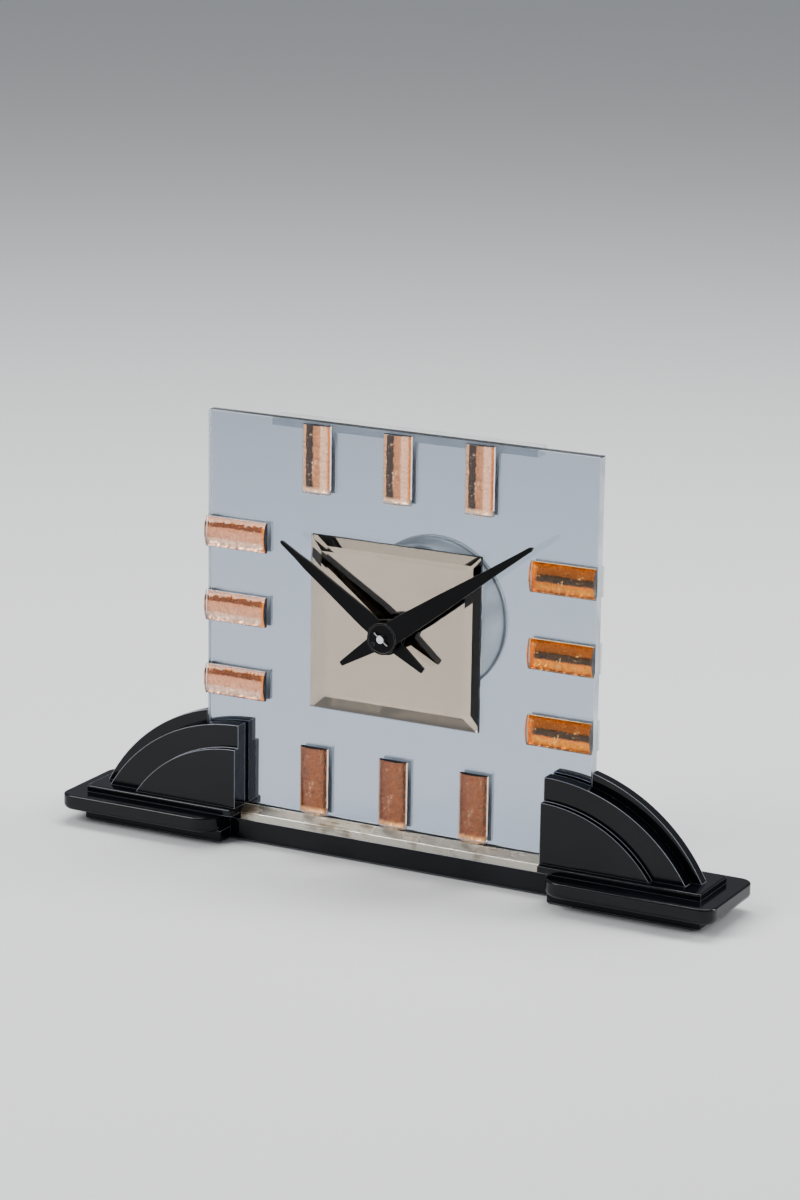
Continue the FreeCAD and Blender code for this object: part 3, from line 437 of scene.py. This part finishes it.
def makePaleGlass():
    material, tree, shader, grain, wear = startMaterial("paleGlass", paleGlass)
    body = mixColours(tree, grain.outputs["Blotches"], rgba(paleGlass["pale"]), rgba(paleGlass["shade"]))
    body = mixColours(tree, wear.outputs["Mask"], body, rgba(paleGlass["chip"]))
    feed(tree, shader.inputs["Base Color"], body)
    rough = maths(tree, "MULTIPLY_ADD", grain.outputs["Speckles"], paleGlass["speckleRise"],
                  paleGlass["roughness"])
    feed(tree, shader.inputs["Roughness"], rough)
    shader.inputs["Coat Weight"].default_value = paleGlass["coat"]
    addBump(tree, shader, grain.outputs["Height"], paleGlass["bump"], wear.outputs["Normal"])
    return material


silver = {"warm": (0.56, 0.46, 0.38), "aged": (0.47, 0.38, 0.31), "agedShare": 0.35, "roughness": 0.02,
          "speckleRise": 0.03, "grain": {"Blotch": 18.0, "Speckle": 600.0, "Scratch": 30.0}}


def makeSilvering():
    material, tree, shader, grain, wear = startMaterial("mirrorSilver", silver)
    aged = maths(tree, "MULTIPLY", grain.outputs["Blotches"], silver["agedShare"])
    body = mixColours(tree, aged, rgba(silver["warm"]), rgba(silver["aged"]))
    feed(tree, shader.inputs["Base Color"], body)
    shader.inputs["Metallic"].default_value = 1.0
    rough = maths(tree, "MULTIPLY_ADD", grain.outputs["Speckles"], silver["speckleRise"], silver["roughness"])
    feed(tree, shader.inputs["Roughness"], rough)
    return material


# foil behind the hour bars

# painted light: each side's bands are the dark and bright reflections of the rounded bar glass, painted into
# the foil's colour, and its end colour is a painted highlight at one end of the bar; the sides differ as the
# light falls differently on each
foilLooks = {
    "top": {"reflectionBands": ((0.0, (0.9, 0.5, 0.25)), (0.1, (0.96, 0.66, 0.42)), (0.13, (0.05, 0.02, 0.01)),
                      (0.34, (0.025, 0.012, 0.008)), (0.38, (0.62, 0.33, 0.18)), (0.58, (0.68, 0.38, 0.22)),
                      (0.62, (0.98, 0.76, 0.64)), (0.84, (0.95, 0.66, 0.5)), (0.88, (0.85, 0.27, 0.03)),
                      (0.97, (0.94, 0.66, 0.45))),
            "tip": (0.99, 0.8, 0.62), "tipEnd": -1.0},
    "left": {"reflectionBands": ((0.0, (0.88, 0.46, 0.2)), (0.08, (1.0, 0.84, 0.74)), (0.27, (1.0, 0.88, 0.8)),
                       (0.33, (0.82, 0.5, 0.35)), (0.62, (0.78, 0.46, 0.31)), (0.66, (0.2, 0.075, 0.03)),
                       (0.8, (0.3, 0.11, 0.03)), (0.85, (0.9, 0.4, 0.08)), (0.97, (0.7, 0.27, 0.06))),
             "tip": (0.9, 0.38, 0.05), "tipEnd": 1.0},
    "right": {"reflectionBands": ((0.0, (0.85, 0.5, 0.28)), (0.07, (0.28, 0.1, 0.02)), (0.11, (1.0, 0.42, 0.05)),
                        (0.2, (1.0, 0.6, 0.16)), (0.34, (0.98, 0.45, 0.08)), (0.37, (0.5, 0.22, 0.08)),
                        (0.4, (0.03, 0.013, 0.006)), (0.57, (0.04, 0.016, 0.007)), (0.62, (0.3, 0.13, 0.05)),
                        (0.84, (0.42, 0.16, 0.04)), (0.95, (0.78, 0.3, 0.06))),
              "tip": (0.95, 0.3, 0.03), "tipEnd": -1.0},
    "bottom": {"reflectionBands": ((0.0, (0.6, 0.26, 0.1)), (0.08, (0.16, 0.055, 0.02)), (0.2, (0.3, 0.11, 0.045)),
                         (0.5, (0.36, 0.15, 0.06)), (0.75, (0.3, 0.12, 0.04)), (0.88, (0.2, 0.075, 0.022)),
                         (0.95, (0.8, 0.42, 0.16))),
               "tip": (1.0, 0.7, 0.4), "tipEnd": -1.0},
}
foil = {"speck": (0.96, 0.84, 0.66), "stain": (0.1, 0.05, 0.025), "roughness": 0.17, "cloudRise": 0.2,
        "metallic": 0.72, "specular": 0.25, "bandWander": 0.16, "tipWidth": 0.09, "speckSpan": (0.33, 0.38),
        "stains": {"top": 0.7, "left": 0.72, "right": 0.64, "bottom": 0.6}, "stainSoftness": 0.05,
        "cloudScale": 170.0, "cloudDetail": 5.0, "cloudRoughness": 0.65, "fineScale": 750.0,
        "fineDetail": 4.0, "fineRoughness": 0.75, "creaseScale": 230.0, "creaseHeight": 1.2,
        "bump": (0.7, 0.0005)}


def addRamp(tree, value, stops):
    ramp = addNode(tree, "ShaderNodeValToRGB", Fac=value)
    steps = ramp.color_ramp.elements
    while len(steps) < len(stops):
        steps.new(0.5)
    for step, (place, colour) in zip(steps, stops):
        step.position = place
        step.color = rgba(colour)
    return ramp.outputs[0]


def makeFoil(name, side, upright, length, width):
    # painted reflections along the foil: dark shade bands and bright highlight bands, wandering a little, and
    # a painted highlight at one end; with bright specks, stains and creases
    look = foilLooks[side]
    stains = foil["stains"][side]
    material, tree, shader = newMaterial(name)
    places = tree.nodes.new("ShaderNodeTexCoord").outputs["Object"]
    split = addNode(tree, "ShaderNodeSeparateXYZ", Vector=places)
    along, across = (split.outputs[axis] for axis in ("ZX" if upright else "XZ"))
    cloud = addNode(tree, "ShaderNodeTexNoise", Vector=places, Scale=foil["cloudScale"],
                    Detail=foil["cloudDetail"], Roughness=foil["cloudRoughness"])
    fine = addNode(tree, "ShaderNodeTexNoise", Vector=places, Scale=foil["fineScale"],
                   Detail=foil["fineDetail"], Roughness=foil["fineRoughness"])
    crease = addNode(tree, "ShaderNodeTexVoronoi", {"feature": "DISTANCE_TO_EDGE"}, Vector=places,
                     Scale=foil["creaseScale"])
    wander = maths(tree, "MULTIPLY", maths(tree, "SUBTRACT", cloud.outputs[0], 0.5), foil["bandWander"])
    share = maths(tree, "ADD", maths(tree, "MULTIPLY_ADD", across, 1 / width, 0.5), wander)
    # painted reflections: bands of shade and highlight across the foil's width
    body = addRamp(tree, share, look["reflectionBands"])
    drift = maths(tree, "MULTIPLY", wander, 0.5)
    # painted highlight at one end of the bar
    end = maths(tree, "MULTIPLY_ADD", along, 2 * look["tipEnd"] / length, drift)
    tip = spread(tree, end, 1.0 - 2 * foil["tipWidth"], 1.0 - foil["tipWidth"])
    body = mixColours(tree, tip, body, rgba(look["tip"]))
    specks = spread(tree, maths(tree, "MULTIPLY", fine.outputs[0], cloud.outputs[0]), *foil["speckSpan"])
    body = mixColours(tree, specks, body, rgba(foil["speck"]))
    patches = spread(tree, fine.outputs[0], stains, stains + foil["stainSoftness"])
    feed(tree, shader.inputs["Base Color"], mixColours(tree, patches, body, rgba(foil["stain"])))
    shader.inputs["Metallic"].default_value = foil["metallic"]
    shader.inputs["Specular IOR Level"].default_value = foil["specular"]
    rough = maths(tree, "MULTIPLY_ADD", cloud.outputs[0], foil["cloudRise"], foil["roughness"])
    feed(tree, shader.inputs["Roughness"], rough)
    creased = maths(tree, "MULTIPLY", crease.outputs["Distance"], foil["creaseHeight"])
    addBump(tree, shader, maths(tree, "ADD", creased, cloud.outputs[0]), foil["bump"])
    return material


foilSheets = {"columns": 48, "rows": 20, "crinkle": 0.00011, "finesse": 420.0, "inset": 0.0003,
              "thickness": 0.00004, "noise": (0.9, 2.2, 3), "seedStep": 3.7, "twelve": 0.1}


def linkMesh(name, build, place, material):
    # a new object from a finished bmesh
    mesh = bpy.data.meshes.new(name)
    build.to_mesh(mesh)
    build.free()
    made = bpy.data.objects.new(name, mesh)
    made.location = place
    bpy.context.scene.collection.objects.link(made)
    mesh.materials.append(material)
    return made


def makeFoilSheet(name, low, high, seed, material):
    # crinkled sheet in the thin gap behind one bar, with its thickness
    inset = foilSheets["inset"]
    wide, tall = high.x - low.x, high.z - low.z
    counts = (foilSheets["columns"], foilSheets["rows"])
    up, across = counts if tall > wide else counts[::-1]
    centre = (low + high) / 2
    build = bmesh.new()
    rows = []
    for j in range(up + 1):
        row = []
        for i in range(across + 1):
            x = low.x + inset + (wide - 2 * inset) * i / across
            z = low.z + inset + (tall - 2 * inset) * j / up
            lift = noise.fractal(Vector((x, seed, z)) * foilSheets["finesse"], *foilSheets["noise"])
            lift = max(-1.0, min(1.0, lift)) * foilSheets["crinkle"]
            row.append(build.verts.new((x - centre.x, lift, z - centre.z)))
        rows.append(row)
    for j in range(up):
        for i in range(across):
            build.faces.new((rows[j][i], rows[j][i + 1], rows[j + 1][i + 1], rows[j + 1][i]))
    sheet = linkMesh(name, build, centre, material)
    thick = sheet.modifiers.new("thickness", "SOLIDIFY")
    thick.thickness = foilSheets["thickness"]
    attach(sheet, "root")
    return sheet


def solidBoxes(node):
    # boxes of the separate solids in one node, by flooding its faces
    build = bmesh.new()
    build.from_mesh(nodes[node].data)
    bmesh.ops.remove_doubles(build, verts=build.verts, dist=1e-6)
    left = set(build.verts)
    found = []
    while left:
        edge = [left.pop()]
        cluster = []
        while edge:
            vert = edge.pop()
            cluster.append(vert.co.copy())
            for link in vert.link_edges:
                other = link.other_vert(vert)
                if other in left:
                    left.remove(other)
                    edge.append(other)
        low = Vector([min(point[axis] for point in cluster) for axis in range(3)])
        high = Vector([max(point[axis] for point in cluster) for axis in range(3)])
        found.append((low, high))
    build.free()
    return found


def clockPlace(box):
    # angle clockwise from just after twelve, so that one o'clock comes first and twelve last
    centre = (box[0] + box[1]) / 2
    return (math.atan2(centre.x, centre.z - dialZ) - foilSheets["twelve"]) % math.tau


def makeFoils():
    # one sheet behind each hour bar, its painted reflections and shade chosen by the side of the dial that it
    # is on, as the light falls differently on each side
    sheets = []
    for index, (low, high) in enumerate(sorted(solidBoxes("bar_foils"), key=clockPlace)):
        centre = (low + high) / 2
        wide, tall = high.x - low.x, high.z - low.z
        upright = tall > wide
        if upright:
            side = "top" if centre.z > dialZ else "bottom"
        else:
            side = "left" if centre.x < 0 else "right"
        material = makeFoil("foil%02d" % (index + 1), side, upright, max(wide, tall), min(wide, tall))
        seed = index * foilSheets["seedStep"]
        sheets.append(makeFoilSheet("barFoil%02d" % (index + 1), low, high, seed, material))
    for sheet in sheets:
        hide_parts("bar_foils")
    print("foils", len(sheets))


# felt and rubber, then every CAD node gets its finish

felt = {"dark": (0.02, 0.02, 0.022), "light": (0.06, 0.06, 0.06), "roughness": 0.95, "bump": (0.8, 0.0002),
        "grain": {"Blotch": 200.0, "Speckle": 3000.0, "Scratch": 10.0}}
rubber = {"dark": (0.015, 0.015, 0.015), "light": (0.035, 0.035, 0.035), "roughness": 0.7,
          "grain": {"Blotch": 90.0, "Speckle": 2000.0, "Scratch": 10.0}}


def makeSoft(name, look, pattern):
    material, tree, shader, grain, wear = startMaterial(name, look)
    body = mixColours(tree, grain.outputs[pattern], rgba(look["dark"]), rgba(look["light"]))
    feed(tree, shader.inputs["Base Color"], body)
    shader.inputs["Roughness"].default_value = look["roughness"]
    if "bump" in look:
        addBump(tree, shader, grain.outputs[pattern], look["bump"])
    return material


def dressNodes():
    slotOf = {part["node"]: part["material_slot"] for part in frame["record"]["subparts"]}
    finishes = {
        "black_lacquer": makeLacquer(),
        "sill_metal": makeSillMetal(),
        "plate_glass": makePlateGlass(),
        "pale_glass": makePaleGlass(),
        "mirror_glass": makeClearGlass("mirrorGlass", mirrorGlass["tint"], mirrorGlass["roughness"]),
        "silvering": makeSilvering(),
        "case_aluminium": makeCaseMetal(),
        "black_enamel": makeEnamel(),
        "bright_steel": makeMetal("polishedSteel", steel),
        "brass": makeMetal("satinBrass", brass),
        "felt": makeSoft("feltPads", felt, "Speckles"),
        "rubber_seal": makeSoft("sealRubber", rubber, "Blotches"),
    }
    for name, part in nodes.items():
        part.data.materials.clear()
        if name in barGlass["sideLightTints"]:
            part.data.materials.append(makeBarGlass(name))
        else:
            part.data.materials.append(finishes.get(slotOf[name], finishes["case_aluminium"]))
        if slotOf[name] in ("plate_glass", "mirror_glass", "bar_glass"):
            part.visible_shadow = False  # light reaches what lies behind the glass
    print("nodes dressed", len(nodes))


groundEdge = {"pale": (0.62, 0.66, 0.69), "grey": (0.34, 0.38, 0.41), "roughness": 0.35, "speckleRise": 0.15,
              "thickness": 0.00004, "inset": 0.0004, "gap": 0.00001,
              "grain": {"Blotch": 45.0, "Speckle": 1400.0, "Scratch": 20.0}}


def makeGroundEdges():
    # frosted skin on the upright edges of the dial plate, from the cheeks up to the top corners
    material, tree, shader, grain, wear = startMaterial("groundEdge", groundEdge)
    body = mixColours(tree, grain.outputs["Blotches"], rgba(groundEdge["pale"]), rgba(groundEdge["grey"]))
    feed(tree, shader.inputs["Base Color"], body)
    rough = maths(tree, "MULTIPLY_ADD", grain.outputs["Speckles"], groundEdge["speckleRise"],
                  groundEdge["roughness"])
    feed(tree, shader.inputs["Roughness"], rough)
    thickness, inset = groundEdge["thickness"], groundEdge["inset"]
    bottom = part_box("right_web")[1].z
    top = plateHigh.z - inset
    width = plateHigh.y - plateLow.y - 2 * inset
    out = plateHigh.x + thickness / 2 + groundEdge["gap"]
    for side, label in ((-1, "left"), (1, "right")):
        build = bmesh.new()
        bmesh.ops.create_cube(build, size=1.0)
        place = (side * out, (plateLow.y + plateHigh.y) / 2, (top + bottom) / 2)
        skin = linkMesh(label + "GroundEdge", build, place, material)
        skin.data.transform(Matrix.Diagonal((thickness, width, top - bottom, 1.0)))
        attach(skin, "root")
    print("ground edges ready")


# floor, lights, camera

studio = {"floorColour": (0.7, 0.7, 0.7), "floorRoughness": 0.55, "floorHalf": 20.0,
          "worldColour": (0.84, 0.87, 0.92), "worldStrength": 0.42, "mirroredStrength": 0.3,
          "lampAim": (0.0, 0.0, 0.1), "contrast": "AgX - Medium High Contrast"}
lamps = [
    {"name": "keySoftbox", "place": (-1.3, -1.2, 1.5), "size": (1.0, 1.4), "power": 34.0},
    {"name": "sideSoftbox", "place": (1.7, 0.9, 1.0), "size": (0.6, 1.5), "power": 26.0},
    {"name": "topSoftbox", "place": (-0.2, 0.7, 1.9), "size": (1.6, 0.7), "power": 30.0},
]
camera = {"place": (0.8779, -1.6759, 0.6374), "yaw": 27.64, "pitch": 14.57, "roll": 0.856, "lens": 111.66,
          "sensor": 36.0, "reach": 200.0}


def makeFloor():
    mesh = bpy.data.meshes.new("floor")
    half = studio["floorHalf"]
    corners = [(-half, -half, 0), (half, -half, 0), (half, half, 0), (-half, half, 0)]
    mesh.from_pydata(corners, [], [(0, 1, 2, 3)])
    floor = bpy.data.objects.new("floor", mesh)
    bpy.context.scene.collection.objects.link(floor)
    material, tree, shader = newMaterial("paleFloor")
    shader.inputs["Base Color"].default_value = rgba(studio["floorColour"])
    shader.inputs["Roughness"].default_value = studio["floorRoughness"]
    mesh.materials.append(material)


def makeStudio():
    # surroundings look dimmer in mirrors and glass than to the camera and to matt surfaces
    world = bpy.data.worlds.new("studioWorld")
    bpy.context.scene.world = world
    world.use_nodes = True
    tree = world.node_tree
    sky = tree.nodes["Background"]
    sky.inputs["Color"].default_value = rgba(studio["worldColour"])
    path = tree.nodes.new("ShaderNodeLightPath")
    plain = maths(tree, "MAXIMUM", path.outputs["Is Diffuse Ray"], path.outputs["Is Camera Ray"])
    strength = mixValues(tree, plain, studio["mirroredStrength"], studio["worldStrength"])
    tree.links.new(strength, sky.inputs["Strength"])
    for lamp in lamps:
        light = bpy.data.lights.new(lamp["name"], "AREA")
        light.shape = "RECTANGLE"
        light.size, light.size_y = lamp["size"]
        light.energy = lamp["power"]
        holder = bpy.data.objects.new(lamp["name"], light)
        holder.location = lamp["place"]
        ahead = Vector(studio["lampAim"]) - Vector(lamp["place"])
        holder.rotation_euler = ahead.to_track_quat("-Z", "Y").to_euler()
        bpy.context.scene.collection.objects.link(holder)


def makeCamera():
    yaw, pitch, roll = (math.radians(camera[key]) for key in ("yaw", "pitch", "roll"))
    ahead = Vector((-math.sin(yaw) * math.cos(pitch), math.cos(yaw) * math.cos(pitch), -math.sin(pitch)))
    level = Vector((math.cos(yaw), math.sin(yaw), 0.0))
    upright = level.cross(ahead)
    right = math.cos(roll) * level + math.sin(roll) * upright
    top = right.cross(ahead)
    lens = bpy.data.cameras.new("camera")
    lens.lens = camera["lens"]
    lens.sensor_width = camera["sensor"]
    lens.clip_end = camera["reach"]
    holder = bpy.data.objects.new("camera", lens)
    holder.matrix_world = Matrix((
        (right.x, top.x, -ahead.x, camera["place"][0]),
        (right.y, top.y, -ahead.y, camera["place"][1]),
        (right.z, top.z, -ahead.z, camera["place"][2]),
        (0.0, 0.0, 0.0, 1.0)))
    bpy.context.scene.collection.objects.link(holder)
    bpy.context.scene.camera = holder


makeFloor()
makeStudio()
makeCamera()
dressNodes()
makeFoils()
makeGroundEdges()
bpy.context.scene.view_settings.look = studio["contrast"]
print("scene ready")
